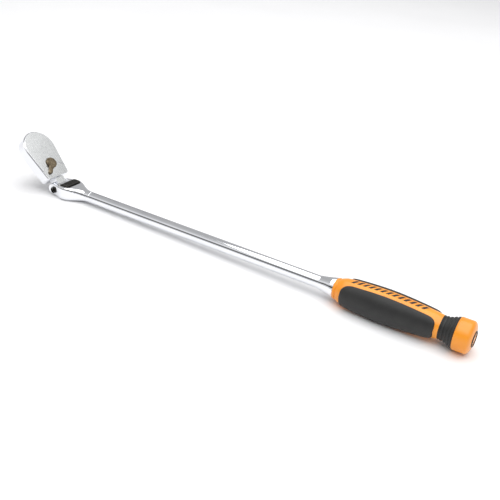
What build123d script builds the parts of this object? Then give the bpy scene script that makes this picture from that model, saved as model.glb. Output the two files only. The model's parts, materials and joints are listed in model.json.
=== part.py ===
import os
from math import asin, cos, degrees, radians, sin

from build123d import *

# Overall sizes, in mm. Lengths along the handle are measured from the flex pivot.
handle_length = 401.0
shaft_diameter = 10.6
head_radius = 16.75
head_thickness = 11.6
gear_center = 41.4
flex_angle = 45.0
drive_size = 9.525
drive_length = 11.0
drive_corner = 1.0

# Clearances
running_gap = 0.05
free_gap = 0.3
side_gap = 0.2
mesh_gap = 0.06

# Fork at the head end of the handle
fork_width = 23.4
fork_height = 12.4
fork_corner = 2.2
ear_reach = 6.4
ear_narrowing = 0.2
ear_thinning = 0.6
slot_width = 10.0
lug_radius = 5.0
notch_pitch = 15.0
notch_count = 13
notch_depth = 0.8
notch_half_width = 0.55
cheek_station = 17.0
cheek_width = 22.4
cheek_height = 12.8
cheek_corner = 3.0
throat_station = 24.5
throat_width = 15.8
throat_height = 12.0
throat_corner = 4.2
root_station = 31.0
root_width = 11.8
root_height = 11.1
root_corner = 5.2
neck_end = 38.0

# Flex lock
window_start = 6.4
window_length = 9.6
window_width = 19.0
window_corner = 1.8
window_floor = 1.2
bolt_radius = 2.25
bolt_length = 9.6
bolt_flat = 1.35
lock_bore_end = 20.6
lock_spring_radius = 1.6
lock_spring_wire = 0.25
lock_spring_turns = 4
spring_end_gap = 0.3
button_length = 8.2
button_rise = 1.3
button_crown = 0.8
button_bottom = 2.45
button_groove_pitch = 2.1
button_groove_width = 0.8
button_groove_depth = 0.5
button_groove_margin = 2.2
stem_length = 3.0
stem_width = 2.6
lock_pin_radius = 0.6
lock_pin_length = 4.0

# Pivot screw
screw_head_radius = 2.75
screw_head_height = 2.2
screw_recess = 2.3
screw_shank_radius = 2.2
screw_thread_radius = 1.8
screw_thread_inset = 0.6
hex_socket = 2.5
hex_socket_depth = 1.5

# Head body
shoulder_start = 8.8
shoulder_half_width = 13.4
shoulder_radius = 3.6
tongue_half_height = 4.3
face_bevel = 1.1
back_bevel = 0.7
tail_step = 0.5
tail_arc_center = 5.0
tail_arc_radius = 18.5

# Drive gear
gear_teeth = 72
gear_tip_radius = 11.2
gear_tooth_depth = 0.55
gear_top = 2.3
gear_bottom = -3.8
cavity_top = 2.6
upper_hub_radius = 7.5
upper_hub_top = 4.1
lower_hub_radius = 8.9
lower_hub_bottom = -6.4
ball_radius = 1.7
ball_pocket_depth = 4.4
ball_show = 0.8
ball_setback = 4.6
square_chamfer = 0.8
detent_spring_radius = 1.0
detent_spring_wire = 0.2
detent_spring_turns = 3
detent_spring_gap = 0.25
hub_gap = 0.1

# Cover plate
cover_thickness = 1.6
cover_radius = 13.6
cover_tail_center = 19.5
cover_tail_radius = 7.2
cover_tail_side = 0.5
cover_screw_reach = 18.0
cover_screw_side = 4.6
cover_screw_radius = 0.8
cover_screw_head = 1.5
cover_screw_head_height = 0.8
cover_screw_length = 4.6
cross_slot_length = 1.8
cross_slot_width = 0.4
cross_slot_depth = 0.45

# Reversing lever
lever_center = 23.3
lever_throw = 80.0
lever_disc_radius = 5.3
lever_seat = 4.4
lever_seat_gap = 0.1
lever_edge = 0.6
lever_top = 7.3
lever_tail_length = 12.4
lever_tail_width = 4.4
lever_tail_tip_radius = 1.8
lever_stem_radius = 2.6
seal_radius = 0.4
seal_height = 3.5
seal_fit = 0.02

# Pawl
pawl_pin_center = 28.9
pawl_pin_radius = 0.6
pawl_half_width = 6.6
pawl_rock = 10.0
pawl_back_radius = 4.05
pawl_bottom = -3.6
pawl_top = 2.2
pawl_cavity_center = 27.2
pawl_cavity_radius = 8.8
pawl_front_reach = 3.4
pawl_flank_reach = 1.4
pawl_back_reach = 3.6
pawl_back_taper = 2.6
pawl_face_gap = 0.12
pawl_pin_seat = 1.2

# Pawl plunger
plunger_radius = 0.9
plunger_length = 2.8
plunger_tip = 3.9
plunger_bore_start = -2.0
plunger_nose = 0.72
plunger_spring_radius = 0.6
plunger_spring_wire = 0.15
plunger_spring_turns = 4
plunger_spring_gap = 0.2

# Grip: each reach is measured from its front edge
grip_length = 110.4
grip_front_radius = 8.4
flare_length = 15.0
collar_groove_reach = 2.6
collar_groove_width = 0.8
collar_groove_depth = 0.4
collar_swell_reach = 4.8
collar_swell_radius = 9.5
collar_reach = 8.0
collar_radius = 10.6
front_swell_reach = 26.0
front_swell_radius = 11.85
belly_reach = 43.4
belly_radius = 12.3
rear_taper_reach = 62.4
rear_taper_radius = 11.45
panel_start_reach = 8.3
panel_end_reach = 81.4
panel_end_radius = 9.8
panel_depth = 1.6
panel_raise = 0.15
panel_front_curve = 8.0
panel_rear_cut = 6.0
strip_half_width = 6.3
strip_corner = 3.2
waist_reach = 85.4
waist_radius = 9.2
ring_reach = 97.1
ring_low_reach = 90.1
ring_low_radius = 9.75
ring_high_reach = 93.6
ring_high_radius = 11.1
ring_inset = 0.2
rib_count = 4
rib_groove_width = 1.0
rib_groove_depth = 0.6
rib_rise_power = 1.8
tang_radius = 5.0
tang_reach = 80.4
spigot_radius = 7.0
spigot_reach = 101.4
cap_radius = 12.6
cap_shoulder = 3.2
cap_round_length = 0.9
cap_round_height = 2.4
medallion_radius = 6.3
medallion_depth = 1.6
medallion_rim = 0.9
medallion_land = 0.5
medallion_ring_rise = 0.6
medallion_disc_rise = 0.3

grip_front = handle_length - grip_length
flare_start = grip_front - flare_length
collar_end = grip_front + collar_reach
belly_station = grip_front + belly_reach
panel_start = grip_front + panel_start_reach
panel_end = grip_front + panel_end_reach
waist_station = grip_front + waist_reach
ring_end = grip_front + ring_reach
tang_end = grip_front + tang_reach
spigot_end = grip_front + spigot_reach
cap_face = handle_length - medallion_ring_rise

# The handle lies on its fork and the belly of its grip, which tips it up a little.
handle_pitch = degrees(asin((belly_radius - fork_height / 2) / belly_station))
head_tilt = flex_angle - handle_pitch

pivot = Vector(0, 0, 0)
along_handle = Vector(cos(radians(handle_pitch)), 0, sin(radians(handle_pitch)))
above_handle = Vector(-sin(radians(handle_pitch)), 0, cos(radians(handle_pitch)))
along_head = Vector(-cos(radians(head_tilt)), 0, sin(radians(head_tilt)))
above_head = Vector(sin(radians(head_tilt)), 0, cos(radians(head_tilt)))

handle_top = Plane(origin=pivot, x_dir=along_handle, z_dir=above_handle)
handle_side = Plane(origin=pivot, x_dir=along_handle, z_dir=(0, -1, 0))
handle_axis = Axis(origin=pivot, direction=along_handle)
head_top = Plane(origin=pivot, x_dir=along_head, z_dir=above_head)
head_side = Plane(origin=pivot, x_dir=along_head, z_dir=(0, 1, 0))
gear_plane = head_top.shift_origin(pivot + along_head * gear_center)
lever_plane = head_top.shift_origin(pivot + along_head * lever_center)

slot_floor = lug_radius + free_gap
tongue_width = slot_width - 2 * side_gap
ear_face = fork_width / 2
shaft_radius = shaft_diameter / 2
head_face = head_thickness / 2
cover_top = -head_face + cover_thickness
gear_root_radius = gear_tip_radius - gear_tooth_depth
notch_slope = notch_half_width / notch_depth
notch_mouth = 0.3
loft_allowance = 0.01
collar_groove_radius = 8.95
button_width = window_width - 2 * side_gap
stem_center = window_start + window_length - side_gap - button_length / 2


def handle_section(station):
    """Plane square to the handle axis at a distance from the pivot."""
    return Plane(origin=pivot + along_handle * station, x_dir=(0, 1, 0), z_dir=along_handle)


def turned(plane, angle):
    """The same plane turned about its normal."""
    x_dir = plane.x_dir * cos(radians(angle)) + plane.y_dir * sin(radians(angle))
    return Plane(origin=plane.origin, x_dir=x_dir, z_dir=plane.z_dir)


def coil_spring(plane, coil_radius, wire_radius, length, turns):
    """Compression spring standing on a plane."""
    with BuildPart() as spring:
        with BuildLine() as coil:
            Helix(pitch=length / turns, height=length, radius=coil_radius)
        with BuildSketch(Plane(origin=coil.line @ 0, z_dir=coil.line % 0)):
            Circle(wire_radius)
        sweep()
    return spring.part.moved(plane.location)


def toothed_disc(plane, growth, height):
    """Drive gear rim; growth widens it on all sides to cut a mating part."""
    tips = [gear_tip_radius + growth, gear_root_radius + growth]
    rim = [
        Vector(tips[i % 2], 0).rotate(Axis.Z, i * 180 / gear_teeth)
        for i in range(2 * gear_teeth)
    ]
    with BuildPart() as disc:
        with BuildSketch(plane):
            with BuildLine():
                Polyline(*rim, close=True)
            make_face()
        extrude(amount=height)
    return disc.part


def teardrop(plane, big_radius, tail_center, tail_offset, tail_radius, height):
    """Plate with a round end over the gear and a narrower tail towards the pivot."""
    with BuildPart() as plate:
        with BuildSketch(plane):
            with Locations((gear_center, 0)):
                Circle(big_radius)
            with Locations((tail_center, tail_offset), (tail_center, -tail_offset)):
                Circle(tail_radius)
            make_hull()
        extrude(amount=height)
    return plate.part


def belly_points(inset):
    """Outline of the grip's belly, drawn inwards by an inset."""
    stations = [
        (collar_end, collar_radius),
        (grip_front + front_swell_reach, front_swell_radius),
        (belly_station, belly_radius),
        (grip_front + rear_taper_reach, rear_taper_radius),
        (panel_end, panel_end_radius),
    ]
    return [(station, radius - inset) for station, radius in stations]


def grip_panel(side):
    """Rubber side panel; side is 1 towards +Y and -1 towards -Y."""
    outer = belly_points(-panel_raise)
    inner = belly_points(panel_depth)
    with BuildPart() as panel:
        with BuildSketch(handle_side):
            with BuildLine():
                Spline(*outer)
                Line(outer[-1], inner[-1])
                Spline(*reversed(inner))
                Line(inner[0], outer[0])
            make_face()
        revolve(axis=handle_axis)
        with BuildSketch(handle_top.offset(-cap_radius)):
            inner_edge = side * strip_half_width
            corner_edge = side * (strip_half_width + strip_corner)
            outer_edge = side * cap_radius
            with BuildLine():
                Spline(
                    (panel_start, outer_edge),
                    (panel_start + panel_front_curve, inner_edge),
                    tangents=[(0, -side), (1, 0)],
                )
                Line((panel_start + panel_front_curve, inner_edge), (panel_end - panel_rear_cut, inner_edge))
                Spline(
                    (panel_end - panel_rear_cut, inner_edge),
                    (panel_end, corner_edge),
                    tangents=[(1, 0), (0, side)],
                )
                Polyline((panel_end, corner_edge), (panel_end, outer_edge), (panel_start, outer_edge))
            make_face()
        extrude(amount=2 * cap_radius, mode=Mode.INTERSECT)
    return panel.part


# Handle shaft: fork, neck, rod, flare and the tang inside the grip
with BuildPart() as handle_shaft:
    neck_sections = [
        (-ear_reach - 1, fork_width - 2 * ear_narrowing, fork_height - 2 * ear_thinning, fork_corner),
        (window_start, fork_width, fork_height, fork_corner),
        (cheek_station, cheek_width, cheek_height, cheek_corner),
        (throat_station, throat_width, throat_height, throat_corner),
        (root_station, root_width, root_height, root_corner),
        (neck_end, shaft_diameter, shaft_diameter, shaft_radius - loft_allowance),
    ]
    for station, width, height, corner in neck_sections:
        with BuildSketch(handle_section(station)):
            RectangleRounded(width, height, corner)
    loft()
    with BuildSketch(handle_side):
        Circle(ear_reach)
        with Locations((neck_end / 2 + 1, 0)):
            Rectangle(neck_end + 2, 2 * fork_width)
    extrude(amount=fork_width, both=True, mode=Mode.INTERSECT)
    with BuildSketch(handle_side):
        with BuildLine():
            Polyline(
                (neck_end - 1, 0),
                (neck_end - 1, shaft_radius),
                (flare_start, shaft_radius),
                (grip_front, grip_front_radius),
                (grip_front, tang_radius),
                (tang_end, tang_radius),
                (tang_end, 0),
                close=True,
            )
        make_face()
    revolve(axis=handle_axis)
    with BuildSketch(handle_top):
        with Locations(((slot_floor - 2 * ear_reach) / 2, 0)):
            Rectangle(slot_floor + 2 * ear_reach, slot_width)
    extrude(amount=fork_height, both=True, mode=Mode.SUBTRACT)
    with BuildSketch(handle_side.offset(ear_face - screw_recess - screw_head_height)):
        Circle(screw_head_radius + running_gap)
    extrude(amount=ear_face, mode=Mode.SUBTRACT)
    with BuildSketch(handle_side):
        Circle(screw_shank_radius)
    extrude(amount=ear_face, mode=Mode.SUBTRACT)
    with BuildSketch(handle_side):
        Circle(screw_thread_radius)
    extrude(amount=-ear_face - 1, mode=Mode.SUBTRACT)
    with BuildSketch(handle_section(slot_floor - 1)):
        Circle(bolt_radius + running_gap)
    extrude(amount=lock_bore_end - slot_floor + 1, mode=Mode.SUBTRACT)
    with BuildSketch(handle_top.offset(window_floor)):
        with Locations((window_start + window_length / 2, 0)):
            RectangleRounded(window_length, window_width, window_corner)
    extrude(amount=fork_height, mode=Mode.SUBTRACT)
handle_shaft.part.label = "handle_shaft"

# Pivot screw, recessed in the near ear
with BuildPart() as pivot_screw:
    head_seat = ear_face - screw_recess - screw_head_height
    with BuildSketch(handle_side.offset(head_seat)):
        Circle(screw_head_radius)
    extrude(amount=screw_head_height)
    with BuildSketch(handle_side.offset(-slot_width / 2)):
        Circle(screw_shank_radius)
    extrude(amount=slot_width / 2 + head_seat)
    with BuildSketch(handle_side.offset(-ear_face + screw_thread_inset)):
        Circle(screw_thread_radius)
    extrude(amount=ear_face - slot_width / 2)
    with BuildSketch(handle_side.offset(head_seat + screw_head_height)):
        RegularPolygon(hex_socket / 2, 6, major_radius=False)
    extrude(amount=-hex_socket_depth, mode=Mode.SUBTRACT)
pivot_screw.part.label = "pivot_screw"

# Lock button, drawn back to its released place
with BuildPart() as lock_button:
    with BuildSketch(handle_top.offset(button_bottom)):
        with Locations((stem_center, 0)):
            RectangleRounded(button_length, button_width, window_corner - side_gap)
    extrude(amount=fork_height / 2 + button_rise - button_bottom)
    thumb_face = lock_button.faces().sort_by(Axis(pivot, above_handle))[-1]
    fillet(thumb_face.edges(), radius=button_crown)
    with BuildSketch(handle_top.offset(fork_height / 2 + button_rise - button_groove_depth)):
        with Locations((stem_center, 0)):
            with GridLocations(button_groove_pitch, 0, 3, 1):
                Rectangle(button_groove_width, button_width - 2 * button_groove_margin)
    extrude(amount=2 * button_groove_depth, mode=Mode.SUBTRACT)
    with BuildSketch(handle_top.offset(-bolt_flat)):
        with Locations((stem_center, 0)):
            Rectangle(stem_length, stem_width)
    extrude(amount=button_bottom + bolt_flat)
    with BuildSketch(handle_side):
        with Locations((stem_center, 0)):
            Circle(lock_pin_radius)
    extrude(amount=stem_width, both=True, mode=Mode.SUBTRACT)
lock_button.part.label = "lock_button"

# Lock bolt with its wedge nose
with BuildPart() as lock_bolt:
    nose_tip = slot_floor
    nose_length = bolt_radius / notch_slope
    with BuildSketch(handle_section(nose_tip)):
        Circle(bolt_radius)
    extrude(amount=bolt_length)
    with BuildSketch(handle_side):
        with BuildLine():
            Polyline(
                (nose_tip, 0),
                (nose_tip + nose_length, bolt_radius),
                (nose_tip + bolt_length, bolt_radius),
                (nose_tip + bolt_length, -bolt_radius),
                (nose_tip + nose_length, -bolt_radius),
                close=True,
            )
        make_face()
    extrude(amount=bolt_radius, both=True, mode=Mode.INTERSECT)
    with BuildSketch(handle_top.offset(-bolt_flat)):
        with Locations((stem_center, 0)):
            Rectangle(stem_length, stem_width)
    extrude(amount=2 * bolt_radius, mode=Mode.SUBTRACT)
    with BuildSketch(handle_side):
        with Locations((stem_center, 0)):
            Circle(lock_pin_radius)
    extrude(amount=bolt_radius, both=True, mode=Mode.SUBTRACT)
lock_bolt.part.label = "lock_bolt"

# Pin that holds the button's stem in the bolt
with BuildPart() as lock_pin:
    with BuildSketch(handle_side):
        with Locations((stem_center, 0)):
            Circle(lock_pin_radius)
    extrude(amount=lock_pin_length / 2, both=True)
lock_pin.part.label = "lock_pin"

# Spring behind the lock bolt
with BuildPart() as lock_spring:
    spring_plane = handle_section(slot_floor + bolt_length + spring_end_gap)
    spring_length = lock_bore_end - slot_floor - bolt_length - 2 * spring_end_gap
    add(coil_spring(spring_plane, lock_spring_radius, lock_spring_wire, spring_length, lock_spring_turns))
lock_spring.part.label = "lock_spring"

# Grip panels, then the hard core with pockets for them
with BuildPart() as grip_panel_near:
    add(grip_panel(-1))
grip_panel_near.part.label = "grip_panel_near"

with BuildPart() as grip_panel_far:
    add(grip_panel(1))
grip_panel_far.part.label = "grip_panel_far"

with BuildPart() as grip_core:
    with BuildSketch(handle_side):
        with BuildLine():
            belly = belly_points(0)
            Line((grip_front, tang_radius), (grip_front, grip_front_radius))
            Spline(
                (grip_front, grip_front_radius),
                (grip_front + collar_swell_reach, collar_swell_radius),
                belly[0],
            )
            Spline(*belly)
            Line(belly[-1], (waist_station, waist_radius))
            Polyline(
                (waist_station, waist_radius),
                (waist_station, spigot_radius),
                (spigot_end, spigot_radius),
                (spigot_end, 0),
                (tang_end, 0),
                (tang_end, tang_radius),
                (grip_front, tang_radius),
            )
        make_face()
    revolve(axis=handle_axis)
    with BuildSketch(handle_side):
        with Locations((grip_front + collar_groove_reach, collar_groove_radius)):
            Rectangle(collar_groove_width, 2 * collar_groove_depth)
    revolve(axis=handle_axis, mode=Mode.SUBTRACT)
    add(grip_panel_near.part, mode=Mode.SUBTRACT)
    add(grip_panel_far.part, mode=Mode.SUBTRACT)
grip_core.part.label = "grip_core"

# Ribbed rubber ring at the waist
with BuildPart() as waist_ring:
    with BuildSketch(handle_side):
        with BuildLine():
            ring_flank = [
                (waist_station, waist_radius),
                (grip_front + ring_low_reach, ring_low_radius),
                (grip_front + ring_high_reach, ring_high_radius),
                (ring_end, cap_radius - ring_inset),
            ]
            Spline(*ring_flank)
            Polyline(
                (ring_end, cap_radius - ring_inset),
                (ring_end, spigot_radius),
                (waist_station, spigot_radius),
                (waist_station, waist_radius),
            )
        make_face()
    revolve(axis=handle_axis)
    rib_pitch = (ring_end - waist_station) / (rib_count + 1)
    for i in range(rib_count):
        groove_station = waist_station + (i + 1) * rib_pitch
        share = (i + 1) / (rib_count + 1)
        groove_radius = waist_radius + (cap_radius - waist_radius) * share ** rib_rise_power
        with BuildSketch(handle_side):
            with Locations((groove_station, groove_radius)):
                Rectangle(rib_groove_width, 2 * rib_groove_depth)
        revolve(axis=handle_axis, mode=Mode.SUBTRACT)
waist_ring.part.label = "waist_ring"

# End cap with its round seat for the medallion
with BuildPart() as end_cap:
    with BuildSketch(handle_side):
        with BuildLine():
            Polyline(
                (spigot_end, 0),
                (spigot_end, spigot_radius),
                (ring_end, spigot_radius),
                (ring_end, cap_radius),
                (cap_face - cap_shoulder, cap_radius),
            )
            ThreePointArc(
                (cap_face - cap_shoulder, cap_radius),
                (cap_face - cap_round_length, cap_radius - cap_round_height),
                (cap_face, medallion_radius + medallion_land),
            )
            Polyline((cap_face, medallion_radius + medallion_land), (cap_face, 0), (spigot_end, 0))
        make_face()
    revolve(axis=handle_axis)
    with BuildSketch(handle_section(cap_face)):
        Circle(medallion_radius)
    extrude(amount=-medallion_depth, mode=Mode.SUBTRACT)
end_cap.part.label = "end_cap"

# Medallion: dark ring and a plain disc inside it
with BuildPart() as medallion_ring:
    with BuildSketch(handle_section(cap_face - medallion_depth)):
        Circle(medallion_radius)
        Circle(medallion_radius - medallion_rim, mode=Mode.SUBTRACT)
    extrude(amount=medallion_depth + medallion_ring_rise)
medallion_ring.part.label = "medallion_ring"

with BuildPart() as medallion_disc:
    with BuildSketch(handle_section(cap_face - medallion_depth)):
        Circle(medallion_radius - medallion_rim)
    extrude(amount=medallion_depth + medallion_disc_rise)
medallion_disc.part.label = "medallion_disc"

# Head housing: teardrop body, flex tongue, gear and pawl cavities
with BuildPart() as head_housing:
    add(
        teardrop(
            head_top.offset(-head_face),
            head_radius,
            shoulder_start + shoulder_radius,
            shoulder_half_width - shoulder_radius,
            shoulder_radius,
            head_thickness,
        )
    )
    top_face = head_housing.faces().sort_by(Axis(pivot, above_head))[-1]
    chamfer(top_face.edges(), length=face_bevel)
    bottom_face = head_housing.faces().sort_by(Axis(pivot, above_head))[0]
    chamfer(bottom_face.edges(), length=back_bevel)
    with BuildSketch(head_side):
        Circle(lug_radius)
        with Locations((shoulder_start / 2 + 1, 0)):
            Rectangle(shoulder_start + 2, 2 * tongue_half_height)
    extrude(amount=tongue_width / 2, both=True)
    with BuildSketch(head_side):
        with PolarLocations(lug_radius, notch_count, 90, notch_pitch * (notch_count - 1), endpoint=True):
            Polygon(
                (-notch_depth, 0),
                (notch_mouth, notch_slope * (notch_depth + notch_mouth)),
                (notch_mouth, -notch_slope * (notch_depth + notch_mouth)),
                align=None,
            )
    extrude(amount=tongue_width, both=True, mode=Mode.SUBTRACT)
    with BuildSketch(head_side):
        Circle(screw_shank_radius + running_gap)
    extrude(amount=tongue_width, both=True, mode=Mode.SUBTRACT)
    with BuildSketch(head_top.offset(head_face - tail_step)):
        with Locations((tail_arc_center, 0)):
            Circle(tail_arc_radius)
    extrude(amount=head_thickness, mode=Mode.SUBTRACT)
    with BuildSketch(gear_plane.offset(-head_face)):
        Circle(gear_tip_radius + free_gap)
    extrude(amount=head_face + cavity_top, mode=Mode.SUBTRACT)
    with BuildSketch(gear_plane):
        Circle(upper_hub_radius + running_gap)
    extrude(amount=upper_hub_top + hub_gap, mode=Mode.SUBTRACT)
    with BuildSketch(head_top.offset(-head_face)):
        with Locations((pawl_cavity_center, 0)):
            Circle(pawl_cavity_radius)
    extrude(amount=head_face + cavity_top, mode=Mode.SUBTRACT)
    with BuildSketch(lever_plane):
        Circle(lever_stem_radius + running_gap)
    extrude(amount=head_thickness, mode=Mode.SUBTRACT)
    with BuildSketch(lever_plane.offset(lever_seat)):
        Circle(lever_disc_radius + free_gap)
    extrude(amount=head_thickness, mode=Mode.SUBTRACT)
    add(
        teardrop(
            head_top.offset(-head_face),
            cover_radius + running_gap,
            cover_tail_center,
            cover_tail_side,
            cover_tail_radius + running_gap,
            cover_thickness,
        ),
        mode=Mode.SUBTRACT,
    )
    with BuildSketch(head_top.offset(cover_top)):
        with Locations((cover_screw_reach, cover_screw_side), (cover_screw_reach, -cover_screw_side)):
            Circle(cover_screw_radius)
    extrude(amount=cover_screw_length - cover_thickness, mode=Mode.SUBTRACT)
    with BuildSketch(head_top):
        with Locations((pawl_pin_center, 0)):
            Circle(pawl_pin_radius)
    extrude(amount=cavity_top + pawl_pin_seat, mode=Mode.SUBTRACT)
head_housing.part.label = "head_housing"

# Cover plate over the gear and pawl
with BuildPart() as cover_plate:
    add(
        teardrop(
            head_top.offset(-head_face),
            cover_radius,
            cover_tail_center,
            cover_tail_side,
            cover_tail_radius,
            cover_thickness,
        )
    )
    with BuildSketch(gear_plane.offset(-head_face)):
        Circle(lower_hub_radius + running_gap)
    extrude(amount=cover_thickness, mode=Mode.SUBTRACT)
    with BuildSketch(head_top.offset(-head_face)):
        with Locations((cover_screw_reach, cover_screw_side), (cover_screw_reach, -cover_screw_side)):
            Circle(cover_screw_radius)
    extrude(amount=cover_thickness, mode=Mode.SUBTRACT)
    with BuildSketch(head_top.offset(-head_face)):
        with Locations((cover_screw_reach, cover_screw_side), (cover_screw_reach, -cover_screw_side)):
            Circle(cover_screw_head)
    extrude(amount=cover_screw_head_height, mode=Mode.SUBTRACT)
    with BuildSketch(head_top.offset(-head_face)):
        with Locations((pawl_pin_center, 0)):
            Circle(pawl_pin_radius)
    extrude(amount=cover_thickness, mode=Mode.SUBTRACT)
cover_plate.part.label = "cover_plate"

# The two cover screws
with BuildPart() as cover_screws:
    with BuildSketch(head_top.offset(-head_face)):
        with Locations((cover_screw_reach, cover_screw_side), (cover_screw_reach, -cover_screw_side)):
            Circle(cover_screw_head)
    extrude(amount=cover_screw_head_height)
    with BuildSketch(head_top.offset(-head_face)):
        with Locations((cover_screw_reach, cover_screw_side), (cover_screw_reach, -cover_screw_side)):
            Circle(cover_screw_radius)
    extrude(amount=cover_screw_length)
    with BuildSketch(head_top.offset(-head_face)):
        with Locations((cover_screw_reach, cover_screw_side), (cover_screw_reach, -cover_screw_side)):
            Rectangle(cross_slot_width, cross_slot_length)
            Rectangle(cross_slot_length, cross_slot_width)
    extrude(amount=cross_slot_depth, mode=Mode.SUBTRACT)
cover_screws.part.label = "cover_screws"

# Pin that the pawl rocks on
with BuildPart() as pawl_pin:
    with BuildSketch(head_top.offset(-head_face)):
        with Locations((pawl_pin_center, 0)):
            Circle(pawl_pin_radius)
    extrude(amount=head_face + cavity_top + pawl_pin_seat)
pawl_pin.part.label = "pawl_pin"

# Drive gear with its hubs and square drive
with BuildPart() as drive_gear:
    add(toothed_disc(gear_plane.offset(gear_bottom), 0, gear_top - gear_bottom))
    with BuildSketch(gear_plane.offset(gear_top)):
        Circle(upper_hub_radius)
    extrude(amount=upper_hub_top - gear_top)
    with BuildSketch(gear_plane.offset(lower_hub_bottom)):
        Circle(lower_hub_radius)
    extrude(amount=gear_bottom - lower_hub_bottom)
    with BuildSketch(gear_plane.offset(lower_hub_bottom)):
        RectangleRounded(drive_size, drive_size, drive_corner)
    extrude(amount=-drive_length)
    square_end = drive_gear.faces().sort_by(Axis(pivot, above_head))[0]
    chamfer(square_end.edges(), length=square_chamfer)
    ball_line = Plane(
        origin=gear_plane.origin + above_head * (lower_hub_bottom - drive_length + ball_setback),
        x_dir=above_head,
        z_dir=along_head,
    )
    with BuildSketch(ball_line.offset(drive_size / 2)):
        Circle(ball_radius + running_gap)
    extrude(amount=-ball_pocket_depth, mode=Mode.SUBTRACT)
drive_gear.part.label = "drive_gear"

# Detent ball and its spring in the square
with BuildPart() as detent_ball:
    with Locations(ball_line.offset(drive_size / 2 + ball_show - ball_radius)):
        Sphere(ball_radius)
detent_ball.part.label = "detent_ball"

with BuildPart() as detent_spring:
    ball_back = drive_size / 2 + ball_show - 2 * ball_radius
    spring_foot = drive_size / 2 - ball_pocket_depth + detent_spring_gap
    add(
        coil_spring(
            ball_line.offset(spring_foot),
            detent_spring_radius,
            detent_spring_wire,
            ball_back - spring_foot - detent_spring_gap,
            detent_spring_turns,
        )
    )
detent_spring.part.label = "detent_spring"

# Reversing lever: disc, thumb tail and stem, turned to one side
lever_turn = 180 - lever_throw / 2
lever_frame = turned(lever_plane, lever_turn)
with BuildPart() as reversing_lever:
    with BuildSketch(lever_frame.offset(lever_seat + lever_seat_gap)):
        Circle(lever_disc_radius)
    extrude(amount=lever_top - lever_seat - lever_seat_gap)
    with BuildSketch(lever_frame.offset(head_face - tail_step + side_gap)):
        Circle(lever_tail_width / 2)
        with Locations((lever_tail_length - lever_tail_tip_radius, 0)):
            Circle(lever_tail_tip_radius)
        make_hull()
    extrude(amount=lever_top - head_face + tail_step - side_gap)
    lever_crown = reversing_lever.faces().sort_by(Axis(pivot, above_head))[-1]
    fillet(lever_crown.edges(), radius=lever_edge)
    with BuildSketch(lever_frame.offset(cover_top + side_gap)):
        Circle(lever_stem_radius)
    extrude(amount=lever_seat - cover_top)
    with BuildSketch(lever_frame.offset(seal_height - seal_radius)):
        Circle(lever_stem_radius)
        Circle(lever_stem_radius - 2 * seal_radius, mode=Mode.SUBTRACT)
    extrude(amount=2 * seal_radius, mode=Mode.SUBTRACT)
    plunger_line = Plane(
        origin=lever_plane.origin + above_head * (pawl_top + pawl_bottom) / 2,
        x_dir=above_head,
        z_dir=-lever_frame.x_dir,
    )
    with BuildSketch(plunger_line.offset(plunger_bore_start)):
        Circle(plunger_radius + running_gap)
    extrude(amount=lever_stem_radius - plunger_bore_start + 1, mode=Mode.SUBTRACT)
reversing_lever.part.label = "reversing_lever"

# Seal ring on the lever's stem
with BuildPart() as lever_seal:
    seal_path_radius = lever_stem_radius - seal_radius
    seal_section = Plane(
        origin=lever_frame.origin + above_head * seal_height + lever_frame.x_dir * seal_path_radius,
        x_dir=lever_frame.x_dir,
        z_dir=lever_frame.y_dir,
    )
    with BuildSketch(seal_section):
        Circle(seal_radius - seal_fit)
    revolve(axis=Axis(lever_frame.origin, above_head))
lever_seal.part.label = "lever_seal"

# Plunger that the lever presses on the pawl, and its spring
with BuildPart() as pawl_plunger:
    with BuildSketch(plunger_line.offset(plunger_tip - plunger_length)):
        Circle(plunger_radius)
    extrude(amount=plunger_length)
    plunger_face = pawl_plunger.faces().sort_by(Axis(pivot, -lever_frame.x_dir))[-1]
    fillet(plunger_face.edges(), radius=plunger_nose)
pawl_plunger.part.label = "pawl_plunger"

with BuildPart() as plunger_spring:
    spring_foot = plunger_bore_start + plunger_spring_gap
    add(
        coil_spring(
            plunger_line.offset(spring_foot),
            plunger_spring_radius,
            plunger_spring_wire,
            plunger_tip - plunger_length - plunger_spring_gap - spring_foot,
            plunger_spring_turns,
        )
    )
plunger_spring.part.label = "plunger_spring"

# Pawl, rocked so that one end is in mesh with the gear
pawl_axis = Axis(pivot + along_head * pawl_pin_center, above_head)
with BuildPart() as pawl_blank:
    with BuildSketch(head_top.offset(pawl_bottom)):
        back_half_width = pawl_half_width - pawl_back_taper
        with BuildLine():
            Polyline(
                (pawl_pin_center - pawl_back_reach, back_half_width),
                (pawl_pin_center - pawl_flank_reach, pawl_half_width),
                (pawl_pin_center + pawl_front_reach, pawl_half_width),
                (pawl_pin_center + pawl_front_reach, -pawl_half_width),
                (pawl_pin_center - pawl_flank_reach, -pawl_half_width),
                (pawl_pin_center - pawl_back_reach, -back_half_width),
                close=True,
            )
        make_face()
        with Locations((gear_center, 0)):
            Circle(gear_tip_radius + pawl_face_gap, mode=Mode.SUBTRACT)
        with Locations((lever_center, 0)):
            Circle(pawl_back_radius, mode=Mode.SUBTRACT)
    extrude(amount=pawl_top - pawl_bottom)
    with BuildSketch(head_top.offset(pawl_bottom)):
        with Locations((pawl_pin_center, 0)):
            Circle(pawl_pin_radius + running_gap)
    extrude(amount=pawl_top - pawl_bottom, mode=Mode.SUBTRACT)

rim_cutter = toothed_disc(gear_plane.offset(gear_bottom - 1), mesh_gap, gear_top - gear_bottom + 2)
cut_one_end = pawl_blank.part.rotate(pawl_axis, pawl_rock / 2) - rim_cutter
cut_both_ends = cut_one_end.rotate(pawl_axis, -pawl_rock) - rim_cutter
with BuildPart() as pawl:
    add(cut_both_ends.rotate(pawl_axis, pawl_rock))
pawl.part.label = "pawl"

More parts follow.
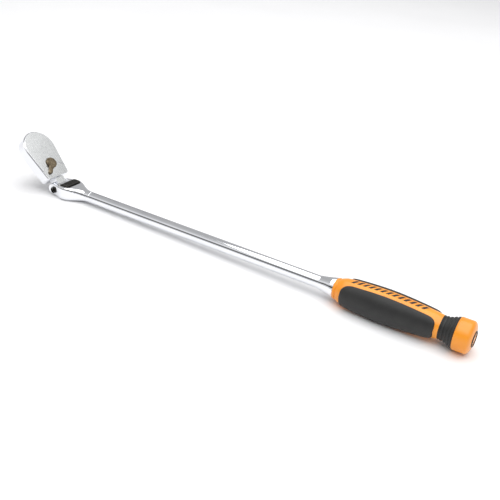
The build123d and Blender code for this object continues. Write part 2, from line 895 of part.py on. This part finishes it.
# Every part is moved together so that the wrench lies on z = 0, centred on the origin.
sub_parts = [
    handle_shaft, pivot_screw, lock_button, lock_bolt, lock_pin, lock_spring,
    grip_panel_near, grip_panel_far, grip_core, waist_ring, end_cap,
    medallion_ring, medallion_disc, head_housing, cover_plate, cover_screws,
    pawl_pin, drive_gear, detent_ball, detent_spring, reversing_lever,
    lever_seal, pawl_plunger, plunger_spring, pawl,
]
boxes = [sub_part.part.bounding_box() for sub_part in sub_parts]
front_end = min(box.min.X for box in boxes)
cap_end = max(box.max.X for box in boxes)
floor_height = min(box.min.Z for box in boxes)
lie_down = Location((-(front_end + cap_end) / 2, 0, -floor_height))

os.makedirs("parts", exist_ok=True)
for sub_part in sub_parts:
    placed = sub_part.part.moved(lie_down)
    placed.label = sub_part.part.label
    export_step(placed, f"parts/{placed.label}.step")
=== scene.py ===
import json
from math import asin, cos, pi, radians, sin, sqrt

import bmesh
import bpy
from mathutils import Matrix, Vector


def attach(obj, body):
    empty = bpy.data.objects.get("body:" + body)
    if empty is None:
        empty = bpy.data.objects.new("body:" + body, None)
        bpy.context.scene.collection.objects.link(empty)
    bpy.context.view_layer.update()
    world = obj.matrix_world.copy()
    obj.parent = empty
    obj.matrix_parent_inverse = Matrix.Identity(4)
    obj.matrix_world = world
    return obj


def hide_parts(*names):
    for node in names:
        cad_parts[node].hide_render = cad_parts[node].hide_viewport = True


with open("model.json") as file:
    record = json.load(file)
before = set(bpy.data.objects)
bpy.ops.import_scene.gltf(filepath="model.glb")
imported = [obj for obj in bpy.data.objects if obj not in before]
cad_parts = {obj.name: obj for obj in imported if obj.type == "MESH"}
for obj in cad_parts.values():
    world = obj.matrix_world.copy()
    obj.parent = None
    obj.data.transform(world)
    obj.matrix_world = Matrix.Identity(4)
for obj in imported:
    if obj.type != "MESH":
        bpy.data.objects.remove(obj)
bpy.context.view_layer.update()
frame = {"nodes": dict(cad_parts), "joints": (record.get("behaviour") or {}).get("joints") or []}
nodes = frame["nodes"]
joints = {joint["name"]: joint for joint in frame["joints"]}
mm = 0.001
samePoint = 1e-7  # points closer than this are one, in m

# The tool's own directions come from its joints. Pieces are drawn in mm from the flex pivot.
pivot = Vector(joints["head_flex"]["pos_m"])
alongHandle = -Vector(joints["lock_slide"]["axis"])
aboveHead = Vector(joints["drive_spin"]["axis"])


def placeOf(along, above):
    side = above.cross(along)
    place = Matrix((along, side, above)).transposed().to_4x4() @ Matrix.Scale(mm, 4)
    place.translation = pivot
    return place


handlePlace = placeOf(alongHandle, alongHandle.cross(Vector((0, 1, 0))))


def startMaterial(name):
    material = bpy.data.materials.new(name)
    material.use_nodes = True
    tree = material.node_tree
    shader = tree.nodes["Principled BSDF"]
    where = tree.nodes.new("ShaderNodeTexCoord")
    return material, tree, shader, where.outputs["Object"]


def addNoise(tree, where, scale, detail=3.0, roughness=0.5, stretch=None):
    noise = tree.nodes.new("ShaderNodeTexNoise")
    noise.inputs["Scale"].default_value = scale
    noise.inputs["Detail"].default_value = detail
    noise.inputs["Roughness"].default_value = roughness
    if stretch:
        mapping = tree.nodes.new("ShaderNodeMapping")
        mapping.inputs["Scale"].default_value = stretch
        tree.links.new(where, mapping.inputs["Vector"])
        where = mapping.outputs["Vector"]
    tree.links.new(where, noise.inputs["Vector"])
    return noise.outputs["Fac"]


noiseSpan = {"low": 0.3, "high": 0.7}  # where most of a noise's values lie


def addRange(tree, source, low, high):
    spread = tree.nodes.new("ShaderNodeMapRange")
    spread.inputs["From Min"].default_value = noiseSpan["low"]
    spread.inputs["From Max"].default_value = noiseSpan["high"]
    spread.inputs["To Min"].default_value = low
    spread.inputs["To Max"].default_value = high
    tree.links.new(source, spread.inputs["Value"])
    return spread.outputs["Result"]


def addMix(tree, factor, first, second):
    mix = tree.nodes.new("ShaderNodeMix")
    mix.data_type = "RGBA"
    mix.inputs["A"].default_value = (*first, 1)
    mix.inputs["B"].default_value = (*second, 1)
    tree.links.new(factor, mix.inputs["Factor"])
    return mix.outputs["Result"]


def addBump(tree, shader, height, strength, distance):
    bump = tree.nodes.new("ShaderNodeBump")
    bump.inputs["Strength"].default_value = strength
    bump.inputs["Distance"].default_value = distance
    tree.links.new(height, bump.inputs["Height"])
    tree.links.new(bump.outputs["Normal"], shader.inputs["Normal"])


def metalFinish(name, look):
    material, tree, shader, where = startMaterial(name)
    shader.inputs["Metallic"].default_value = look["metallic"]
    cloud = addNoise(tree, where, look["cloudScale"], detail=4.0)
    tint = addMix(tree, addRange(tree, cloud, 0.0, 1.0), look["dark"], look["light"])
    tree.links.new(tint, shader.inputs["Base Color"])
    grain = addNoise(tree, where, look["grainScale"], detail=4.0, roughness=0.6, stretch=look.get("stretch"))
    tree.links.new(addRange(tree, grain, *look["roughness"]), shader.inputs["Roughness"])
    addBump(tree, shader, grain, look["bump"], look["depth"])
    return material


def plasticFinish(name, look):
    material, tree, shader, where = startMaterial(name)
    shader.inputs["Specular IOR Level"].default_value = look["specular"]
    shader.inputs["Coat Weight"].default_value = look["coat"]
    shader.inputs["Coat Roughness"].default_value = look["coatRoughness"]
    shader.inputs["Sheen Weight"].default_value = look["sheen"]
    cloud = addNoise(tree, where, look["cloudScale"])
    tint = addMix(tree, addRange(tree, cloud, 0.0, 1.0), look["dark"], look["light"])
    tree.links.new(tint, shader.inputs["Base Color"])
    grain = addNoise(tree, where, look["grainScale"], detail=5.0, roughness=0.65)
    tree.links.new(addRange(tree, grain, *look["roughness"]), shader.inputs["Roughness"])
    addBump(tree, shader, grain, look["bump"], look["depth"])
    return material


polishedChrome = metalFinish("polishedChrome", {
    "metallic": 1.0, "cloudScale": 60.0, "dark": (0.80, 0.81, 0.84), "light": (0.86, 0.87, 0.89),
    "grainScale": 900.0, "roughness": (0.05, 0.09), "bump": 0.03, "depth": 0.00003})
satinChrome = metalFinish("satinChrome", {
    "metallic": 1.0, "cloudScale": 260.0, "dark": (0.55, 0.56, 0.56), "light": (0.60, 0.61, 0.61),
    "grainScale": 1600.0, "roughness": (0.25, 0.31), "bump": 0.03, "depth": 0.00004,
    "stretch": (0.15, 1.0, 0.15)})
turnedSteel = metalFinish("turnedSteel", {
    "metallic": 1.0, "cloudScale": 300.0, "dark": (0.42, 0.42, 0.43), "light": (0.58, 0.58, 0.59),
    "grainScale": 2500.0, "roughness": (0.22, 0.36), "bump": 0.08, "depth": 0.00003})
blackOxide = metalFinish("blackOxide", {
    "metallic": 0.5, "cloudScale": 700.0, "dark": (0.010, 0.010, 0.009), "light": (0.035, 0.032, 0.027),
    "grainScale": 1800.0, "roughness": (0.38, 0.58), "bump": 0.25, "depth": 0.00006})
agedBronze = metalFinish("agedBronze", {
    "metallic": 1.0, "cloudScale": 420.0, "dark": (0.08, 0.062, 0.042), "light": (0.26, 0.21, 0.14),
    "grainScale": 1500.0, "roughness": (0.24, 0.42), "bump": 0.15, "depth": 0.00005})
springWire = metalFinish("springWire", {
    "metallic": 1.0, "cloudScale": 500.0, "dark": (0.45, 0.45, 0.46), "light": (0.62, 0.62, 0.63),
    "grainScale": 3000.0, "roughness": (0.15, 0.28), "bump": 0.05, "depth": 0.00002})
orangePlastic = plasticFinish("orangePlastic", {
    "specular": 0.5, "coat": 0.25, "coatRoughness": 0.22, "sheen": 0.0, "cloudScale": 45.0,
    "dark": (0.86, 0.290, 0.012), "light": (0.93, 0.345, 0.020),
    "grainScale": 1400.0, "roughness": (0.30, 0.40), "bump": 0.10, "depth": 0.00004})
blackRubber = plasticFinish("blackRubber", {
    "specular": 0.45, "coat": 0.0, "coatRoughness": 0.3, "sheen": 0.06, "cloudScale": 80.0,
    "dark": (0.010, 0.010, 0.010), "light": (0.019, 0.019, 0.018),
    "grainScale": 1100.0, "roughness": (0.44, 0.60), "bump": 0.35, "depth": 0.00010})
blackInk = plasticFinish("blackInk", {
    "specular": 0.4, "coat": 0.1, "coatRoughness": 0.3, "sheen": 0.0, "cloudScale": 90.0,
    "dark": (0.012, 0.011, 0.010), "light": (0.022, 0.020, 0.018),
    "grainScale": 1500.0, "roughness": (0.34, 0.46), "bump": 0.08, "depth": 0.00003})

slotFinish = {
    "polished_chrome": polishedChrome, "plain_steel": turnedSteel, "dark_steel": blackOxide,
    "spring_steel": springWire, "bronze_lever": agedBronze, "orange_plastic": orangePlastic,
    "black_rubber": blackRubber, "black_plastic": blackInk}
for node in nodes.values():
    for materialSlot in node.material_slots:
        slotName = materialSlot.material.name.split(".")[0]
        materialSlot.material = next(finish for key, finish in slotFinish.items() if key in slotName)
print("finishes are made")


def finishPiece(name, mesh, body, finishes, replaced=(), sharp=38):
    for finish in finishes:
        mesh.materials.append(finish)
    for face in mesh.polygons:
        face.use_smooth = True
    mesh.set_sharp_from_angle(angle=radians(sharp))
    piece = bpy.data.objects.new(name, mesh)
    bpy.context.scene.collection.objects.link(piece)
    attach(piece, body)
    if replaced:
        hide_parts(*replaced)
    return piece


def meshFrom(name, points, faces, place):
    mesh = bpy.data.meshes.new(name)
    mesh.from_pydata([place @ Vector(point) for point in points], [], faces)
    mesh.validate()
    shape = bmesh.new()
    shape.from_mesh(mesh)
    bmesh.ops.remove_doubles(shape, verts=shape.verts, dist=samePoint)
    bmesh.ops.recalc_face_normals(shape, faces=shape.faces)
    shape.to_mesh(mesh)
    shape.free()
    return mesh


def turnedMesh(name, outline, steps, place):
    # an outline of (station, radius) that ends where it starts is turned round the handle's axis
    points, faces = [], []
    for station, radius in outline:
        for step in range(steps):
            angle = 2 * pi * step / steps
            points.append((station, radius * sin(angle), radius * cos(angle)))
    for row in range(len(outline) - 1):
        for step in range(steps):
            after = (step + 1) % steps
            faces.append((row * steps + step, row * steps + after,
                          (row + 1) * steps + after, (row + 1) * steps + step))
    return meshFrom(name, points, faces, place)


def smoothCurve(knots, stepLength):
    # a smooth line through (station, radius) knots, in steps of about stepLength
    curve = []
    for i in range(len(knots) - 1):
        before = knots[max(i - 1, 0)]
        start, end = knots[i], knots[i + 1]
        after = knots[min(i + 2, len(knots) - 1)]
        steps = max(2, int(abs(end[0] - start[0]) / stepLength))
        for step in range(steps):
            t = step / steps
            width = end[0] - start[0]
            slopeIn = (end[1] - before[1]) / (end[0] - before[0]) * width
            slopeOut = (after[1] - start[1]) / (after[0] - start[0]) * width
            curve.append((start[0] + width * t,
                          (2 * t ** 3 - 3 * t ** 2 + 1) * start[1] + (t ** 3 - 2 * t ** 2 + t) * slopeIn
                          + (3 * t ** 2 - 2 * t ** 3) * end[1] + (t ** 3 - t ** 2) * slopeOut))
    curve.append(knots[-1])
    return curve


rounding = {"weld": 2e-6, "flatten": 0.6, "sharpFrom": 32, "segments": 2, "profile": 0.5, "leveling": 100}


def roundedCopy(name, nodeName, body, finishes, edge):
    # the part's own shape with its sharp edges rounded by edge mm; 0 keeps them sharp
    shape = bmesh.new()
    shape.from_mesh(nodes[nodeName].data)
    bmesh.ops.remove_doubles(shape, verts=shape.verts, dist=rounding["weld"])
    if edge:
        bmesh.ops.dissolve_limit(shape, angle_limit=radians(rounding["flatten"]),
                                 verts=shape.verts, edges=shape.edges)
        crisp = [e for e in shape.edges
                 if len(e.link_faces) == 2 and e.calc_face_angle(0) > radians(rounding["sharpFrom"])]
        bmesh.ops.bevel(shape, geom=crisp, offset=edge * mm, segments=rounding["segments"],
                        profile=rounding["profile"], affect="EDGES", clamp_overlap=True, loop_slide=False)
    mesh = bpy.data.meshes.new(name)
    shape.to_mesh(mesh)
    shape.free()
    piece = finishPiece(name, mesh, body, finishes, (nodeName,))
    level = piece.modifiers.new("level", "WEIGHTED_NORMAL")
    level.keep_sharp = True
    level.weight = rounding["leveling"]
    return piece


headLook = {"edge": 0.16, "flatWithin": 0.995, "smallest": 2e-6, "lever": 0.10, "cover": 0.08}
headShell = roundedCopy("headShell", "head_housing", "head",
                        [polishedChrome, satinChrome], headLook["edge"])
for face in headShell.data.polygons:  # the flat top is satin, its bevel and sides are mirror bright
    if face.normal.dot(aboveHead) > headLook["flatWithin"] and face.area > headLook["smallest"]:
        face.material_index = 1
roundedCopy("thumbLever", "reversing_lever", "lever", [agedBronze], headLook["lever"])
roundedCopy("coverLid", "cover_plate", "head", [turnedSteel], headLook["cover"])
print("head is dressed")

forkLook = {"shaft": 0, "pad": 0.10, "screw": 0.08}
roundedCopy("shaftForging", "handle_shaft", "handle", [polishedChrome], forkLook["shaft"])
roundedCopy("lockPad", "lock_button", "lock", [blackOxide], forkLook["pad"])
roundedCopy("screwHead", "pivot_screw", "handle", [blackOxide], forkLook["screw"])

# Painted shade: a thin black tube lines the recess wall round the screw, so the recess reads dark.
shadeLining = {"radius": 2.79, "wall": 0.05, "outer": -11.5, "inner": -9.5, "steps": 40}
shadeLiningOutline = [(shadeLining["outer"], shadeLining["radius"]), (shadeLining["inner"], shadeLining["radius"]),
               (shadeLining["inner"], shadeLining["radius"] - shadeLining["wall"]), (shadeLining["outer"], shadeLining["radius"] - shadeLining["wall"]),
               (shadeLining["outer"], shadeLining["radius"])]
shadeLiningPlace = handlePlace @ Matrix.Rotation(pi / 2, 4, "Z")
finishPiece("screwWell", turnedMesh("screwWell", shadeLiningOutline, shadeLining["steps"], shadeLiningPlace),
            "handle", [blackOxide])
print("fork is dressed")

# The grip's reaches are counted from its front edge.
grip = {
    "front": 290.6, "steps": 128, "stepLength": 0.8, "bore": 5.02, "end": 85.4,
    "nose": [(0.0, 7.9), (0.12, 8.2), (0.4, 8.4), (1.9, 8.72)],
    "groove": [(2.15, 8.68), (2.3, 8.45), (2.7, 8.40), (2.95, 8.55), (3.1, 8.86)],
    "body": [(3.4, 9.02), (4.8, 9.62), (8.0, 10.6), (26.0, 11.85), (43.4, 12.3), (62.4, 11.45),
             (81.4, 9.8), (85.4, 9.2)]}


def alongGrip(knots):
    return [(grip["front"] + reach, radius) for reach, radius in knots]


gripSkin = smoothCurve(alongGrip(grip["body"]), grip["stepLength"])


def gripRadius(station):
    for (x0, r0), (x1, r1) in zip(gripSkin, gripSkin[1:]):
        if station <= x1:
            return r0 + (r1 - r0) * (station - x0) / (x1 - x0)
    return gripSkin[-1][1]


coreOutline = alongGrip([(0.0, grip["bore"])] + grip["nose"] + grip["groove"]) + gripSkin
coreOutline += alongGrip([(grip["end"], grip["bore"]), (0.0, grip["bore"])])
finishPiece("gripCore", turnedMesh("gripCore", coreOutline, grip["steps"], handlePlace),
            "handle", [orangePlastic], ("grip_core",))

panel = {"start": 8.3, "end": 81.4, "stripHalf": 6.3, "raise": 0.16, "sink": 0.30, "edge": 0.75,
         "thickness": 1.1, "rows": 150, "columns": 56, "crowding": 0.35, "steepest": 0.999,
         "frontCurve": 8.0, "frontHalf": 10.75, "frontPower": 2.2,
         "rearCurve": 6.0, "rearHalf": 9.5, "rearPower": 2.4}


def panelInner(reach):
    # half the width of the orange strip between the panels, which widens at both of their ends
    for away, end in ((reach - panel["start"], "front"), (panel["end"] - reach, "rear")):
        if away < panel[end + "Curve"]:
            t = 1 - away / panel[end + "Curve"]
            opened = 1 - sqrt(max(0.0, 1 - t ** panel[end + "Power"]))
            return panel["stripHalf"] + (panel[end + "Half"] - panel["stripHalf"]) * opened
    return panel["stripHalf"]


def makePanel(name, side, replaced):
    rows, columns = panel["rows"], panel["columns"]
    points, faces = [], []
    for row in range(rows + 1):
        share = 0.5 - 0.5 * cos(pi * row / rows)
        share = panel["crowding"] * share + (1 - panel["crowding"]) * row / rows
        reach = panel["start"] + (panel["end"] - panel["start"]) * share
        station = grip["front"] + reach
        radius = gripRadius(station)
        lowest = asin(min(panel["steepest"], panelInner(reach) / radius))
        ends = min(reach - panel["start"], panel["end"] - reach)
        for column in range(columns + 1):
            angle = lowest + (pi - 2 * lowest) * (0.5 - 0.5 * cos(pi * column / columns))
            inside = min(ends, radius * (angle - lowest), radius * (pi - lowest - angle))
            inside = min(1.0, max(0.0, inside) / panel["edge"])
            height = radius - panel["sink"] + (panel["raise"] + panel["sink"]) * sqrt(1 - (1 - inside) ** 2)
            points.append((station, side * height * sin(angle), height * cos(angle)))
    for row in range(rows):
        for column in range(columns):
            corner = row * (columns + 1) + column
            faces.append((corner, corner + 1, corner + columns + 2, corner + columns + 1))
    mesh = meshFrom(name, points, faces, handlePlace)
    if mesh.polygons[len(mesh.polygons) // 2].normal.y * side < 0:
        mesh.flip_normals()
    piece = finishPiece(name, mesh, "handle", [blackRubber], (replaced,))
    thick = piece.modifiers.new("thickness", "SOLIDIFY")
    thick.thickness = panel["thickness"] * mm
    thick.offset = -1


makePanel("gripPanelNear", -1, "grip_panel_near")
makePanel("gripPanelFar", 1, "grip_panel_far")

# A plain row of slanted bars along the top strip.
bars = {"first": 14.0, "last": 70.0, "count": 13, "halfHeight": 2.35, "width": 2.5, "slant": 1.5,
        "raise": 0.05, "sink": 0.10, "cells": 5}


def makeBars():
    points, faces = [], []
    cells = bars["cells"]
    pitch = (bars["last"] - bars["first"]) / (bars["count"] - 1)
    for i in range(bars["count"]):
        base = len(points)
        start = grip["front"] + bars["first"] + i * pitch
        for lift in (bars["raise"], -bars["sink"]):
            for across in range(cells + 1):
                t = across / cells
                for end in range(3):
                    station = start + end / 2 * bars["width"] + bars["slant"] * (t - 0.5) * 2
                    radius = gripRadius(station) + lift
                    angle = (1 - 2 * t) * bars["halfHeight"] / radius
                    points.append((station, -radius * sin(angle), radius * cos(angle)))
        size = 3 * (cells + 1)
        for level in (0, size):
            for across in range(cells):
                for end in range(2):
                    corner = base + level + across * 3 + end
                    faces.append((corner, corner + 1, corner + 4, corner + 3))
        rim = [base + k for k in (0, 1, 2)]
        rim += [base + across * 3 + 2 for across in range(1, cells + 1)]
        rim += [base + cells * 3 + 1, base + cells * 3]
        rim += [base + across * 3 for across in range(cells - 1, 0, -1)]
        for k, corner in enumerate(rim):
            after = rim[(k + 1) % len(rim)]
            faces.append((corner, after, after + size, corner + size))
    return meshFrom("stripBars", points, faces, handlePlace)


finishPiece("stripBars", makeBars(), "handle", [blackInk])

ring = {"start": 85.4, "end": 97.1, "bore": 7.05, "ribs": 4, "ribDepth": 0.55, "ribPower": 0.7, "steps": 128,
        "stepLength": 0.13, "flank": [(85.4, 9.2), (90.1, 9.75), (93.6, 11.1), (97.1, 12.4)]}
ringOutline = alongGrip([(ring["start"], ring["bore"])])
for station, radius in smoothCurve(alongGrip(ring["flank"]), ring["stepLength"]):
    share = (station - grip["front"] - ring["start"]) / (ring["end"] - ring["start"])
    wave = max(0.0, -cos(2 * pi * share * (ring["ribs"] + 0.5))) ** ring["ribPower"]
    ringOutline.append((station, radius - ring["ribDepth"] * wave))
ringOutline += alongGrip([(ring["end"], ring["bore"]), (ring["start"], ring["bore"])])
finishPiece("waistRing", turnedMesh("waistRing", ringOutline, ring["steps"], handlePlace),
            "handle", [blackRubber], ("waist_ring",))

# The cap's lip is counted from its front, and its round end and seat from its end face.
cap = {"radius": 12.6, "face": 400.4, "seat": 6.3, "depth": 1.6, "middle": 0.3, "steps": 128, "cells": 5,
       "lip": [(0.0, -0.45), (0.12, -0.2), (0.4, 0.0), (3.0, 0.0), (5.0, 0.0)],
       "round": [(-3.2, 0.0), (-1.9, -0.75), (-0.9, -2.3), (-0.25, -4.2)],
       "brim": 0.5, "seatEdge": [(0.0, 0.35), (-0.15, 0.05)], "seatGap": 0.02}


def roundedLine(knots, cells):
    # a smooth line through the knots, without the last one
    line = []
    for i in range(len(knots) - 1):
        corners = [knots[max(i - 1, 0)], knots[i], knots[i + 1], knots[min(i + 2, len(knots) - 1)]]
        for step in range(cells):
            t = step / cells
            line.append(tuple(0.5 * (2 * p1 + (p2 - p0) * t + (2 * p0 - 5 * p1 + 4 * p2 - p3) * t ** 2
                                     + (3 * p1 - p0 - 3 * p2 + p3) * t ** 3)
                              for p0, p1, p2, p3 in zip(*corners)))
    return line


def capOutline():
    back, face, radius = grip["front"] + ring["end"], cap["face"], cap["radius"]
    outline = [(back, ring["bore"])]
    outline += [(back + step, radius + rise) for step, rise in cap["lip"]]
    knots = [(face + step, radius + rise) for step, rise in cap["round"]]
    outline += roundedLine(knots + [(face, cap["seat"] + cap["brim"])], cap["cells"])
    outline += [(face + step, cap["seat"] + rise) for step, rise in cap["seatEdge"]]
    outline += [(face - cap["depth"], cap["seat"] + cap["seatGap"]), (face - cap["depth"], cap["middle"]),
                (back, cap["middle"]), (back, ring["bore"])]
    return outline


finishPiece("endCap", turnedMesh("endCap", capOutline(), cap["steps"], handlePlace),
            "handle", [orangePlastic], ("end_cap",))

# The badge is a dark rim and a plain disc with two black grooves. Heights are over the cap's face.
badge = {"gap": 0.02, "rim": 0.9, "steps": 96, "discGap": 0.03, "middle": 0.05, "sharp": 30,
         "rimTop": [(0.35, 0.0), (0.52, -0.12), (0.6, -0.3)],
         "rimInside": [(0.6, 0.3), (0.52, 0.12), (0.4, 0.0)],
         "discEdge": 0.10, "inkDepth": 0.1, "grooves": [(4.0, 4.47), (2.5, 2.97)],
         "discTop": [(0.14, 5.2), (0.16, 4.5), (0.02, 4.42), (0.02, 4.05), (0.18, 3.97), (0.20, 3.0),
                     (0.04, 2.92), (0.04, 2.55), (0.24, 2.47), (0.28, 1.0), (0.3, 0.05)]}
rimOuter, rimInner = cap["seat"] - badge["gap"], cap["seat"] - badge["rim"]
seatFloor, capFace = cap["face"] - cap["depth"] + badge["gap"], cap["face"]
rimOutline = [(seatFloor, rimOuter)]
rimOutline += [(capFace + rise, rimOuter + out) for rise, out in badge["rimTop"]]
rimOutline += [(capFace + rise, rimInner + out) for rise, out in badge["rimInside"]]
rimOutline += [(seatFloor, rimInner), (seatFloor, rimOuter)]
finishPiece("badgeRim", turnedMesh("badgeRim", rimOutline, badge["steps"], handlePlace),
            "handle", [blackInk], ("medallion_ring",))

discRadius = rimInner - badge["discGap"]
discOutline = [(seatFloor, badge["middle"]), (seatFloor, discRadius),
               (capFace + badge["discEdge"], discRadius)]
discOutline += [(capFace + rise, radius) for rise, radius in badge["discTop"]]
discOutline.append((seatFloor, badge["middle"]))
badgeDisc = finishPiece("badgeDisc", turnedMesh("badgeDisc", discOutline, badge["steps"], handlePlace),
                        "handle", [orangePlastic, blackInk], ("medallion_disc",),
                        sharp=badge["sharp"])
toHandle = handlePlace.inverted()
for polygon in badgeDisc.data.polygons:
    spot = toHandle @ polygon.center
    outFrom = sqrt(spot.y ** 2 + spot.z ** 2)
    if spot.x > capFace - badge["inkDepth"] and any(low < outFrom < high for low, high in badge["grooves"]):
        polygon.material_index = 1
print("grip is dressed")

floorLook = {"half": 3.0, "drop": 0.0001, "dark": (0.90, 0.90, 0.905), "light": (0.92, 0.92, 0.925),
             "cloudScale": 6.0, "roughness": 0.9, "specular": 0.1}
floorMaterial, floorTree, floorShader, floorWhere = startMaterial("paleFloor")
floorCloud = addNoise(floorTree, floorWhere, floorLook["cloudScale"], detail=2.0)
floorTint = addMix(floorTree, addRange(floorTree, floorCloud, 0.0, 1.0),
                   floorLook["dark"], floorLook["light"])
floorTree.links.new(floorTint, floorShader.inputs["Base Color"])
floorShader.inputs["Roughness"].default_value = floorLook["roughness"]
floorShader.inputs["Specular IOR Level"].default_value = floorLook["specular"]
half = floorLook["half"]
floorMesh = bpy.data.meshes.new("floor")
floorMesh.from_pydata([(x, y, -floorLook["drop"])
                       for x, y in ((-half, -half), (half, -half), (half, half), (-half, half))],
                      [], [(0, 1, 2, 3)])
floorMesh.materials.append(floorMaterial)
floor = bpy.data.objects.new("floor", floorMesh)
bpy.context.scene.collection.objects.link(floor)

# The room's brightness round the tool's length: 0 is the near horizon, 0.5 straight up, 1 the far one.
room = {"strength": 1.0, "blue": 1.01,
        "stops": [(0.0, 0.72), (0.07, 0.70), (0.10, 0.04), (0.155, 0.03), (0.19, 0.55), (0.27, 0.95),
                  (0.36, 0.62), (0.52, 0.50), (0.72, 0.47), (0.88, 0.52), (1.0, 0.45)]}
world = bpy.data.worlds.new("room")
bpy.context.scene.world = world
world.use_nodes = True
roomTree = world.node_tree


def addMath(operation, first, second):
    step = roomTree.nodes.new("ShaderNodeMath")
    step.operation = operation
    roomTree.links.new(first, step.inputs[0])
    if isinstance(second, float):
        step.inputs[1].default_value = second
    else:
        roomTree.links.new(second, step.inputs[1])
    return step.outputs[0]


direction = roomTree.nodes.new("ShaderNodeTexCoord")
split = roomTree.nodes.new("ShaderNodeSeparateXYZ")
roomTree.links.new(direction.outputs["Generated"], split.inputs["Vector"])
towardsNear = addMath("MULTIPLY", split.outputs["Y"], -1.0)
turnAround = addMath("DIVIDE", addMath("ARCTAN2", split.outputs["Z"], towardsNear), pi)
ramp = roomTree.nodes.new("ShaderNodeValToRGB")
while len(ramp.color_ramp.elements) < len(room["stops"]):
    ramp.color_ramp.elements.new(0.5)
for element, (spot, glow) in zip(ramp.color_ramp.elements, room["stops"]):
    element.position = spot
    element.color = (glow, glow, glow * room["blue"], 1)
roomTree.links.new(turnAround, ramp.inputs["Fac"])
roomTree.links.new(ramp.outputs["Color"], roomTree.nodes["Background"].inputs["Color"])
roomTree.nodes["Background"].inputs["Strength"].default_value = room["strength"]

softbox = {"spot": (0.10, 0.0, 1.5), "target": (0, 0, 0), "size": (2.4, 1.9), "power": 30.0}
lamp = bpy.data.lights.new("overheadSoftbox", "AREA")
lamp.shape = "RECTANGLE"
lamp.size, lamp.size_y = softbox["size"]
lamp.energy = softbox["power"]
hangingLamp = bpy.data.objects.new("overheadSoftbox", lamp)
bpy.context.scene.collection.objects.link(hangingLamp)
hangingLamp.location = softbox["spot"]
shine = Vector(softbox["target"]) - Vector(softbox["spot"])
hangingLamp.rotation_euler = shine.to_track_quat("-Z", "Y").to_euler()

view = {"place": (0.28982, -0.45839, 0.30643), "ahead": (-0.42742, 0.76350, -0.48413),
        "up": (-0.32081, 0.37256, 0.87079), "roll": 0.0052, "lens": 52.67, "sensor": 36.0, "nearest": 0.01}
lens = bpy.data.cameras.new("viewpoint")
lens.lens = view["lens"]
lens.sensor_width = view["sensor"]
lens.clip_start = view["nearest"]
viewpoint = bpy.data.objects.new("viewpoint", lens)
bpy.context.scene.collection.objects.link(viewpoint)
ahead, up = Vector(view["ahead"]).normalized(), Vector(view["up"])
right = ahead.cross(up).normalized()
up = right.cross(ahead)
right, up = right + up * view["roll"], up - right * view["roll"]
stand = Matrix((right.normalized(), up.normalized(), -ahead)).transposed().to_4x4()
stand.translation = Vector(view["place"])
viewpoint.matrix_world = stand
bpy.context.scene.camera = viewpoint
bpy.context.scene.view_settings.view_transform = "Standard"
print("floor, light and camera are set")
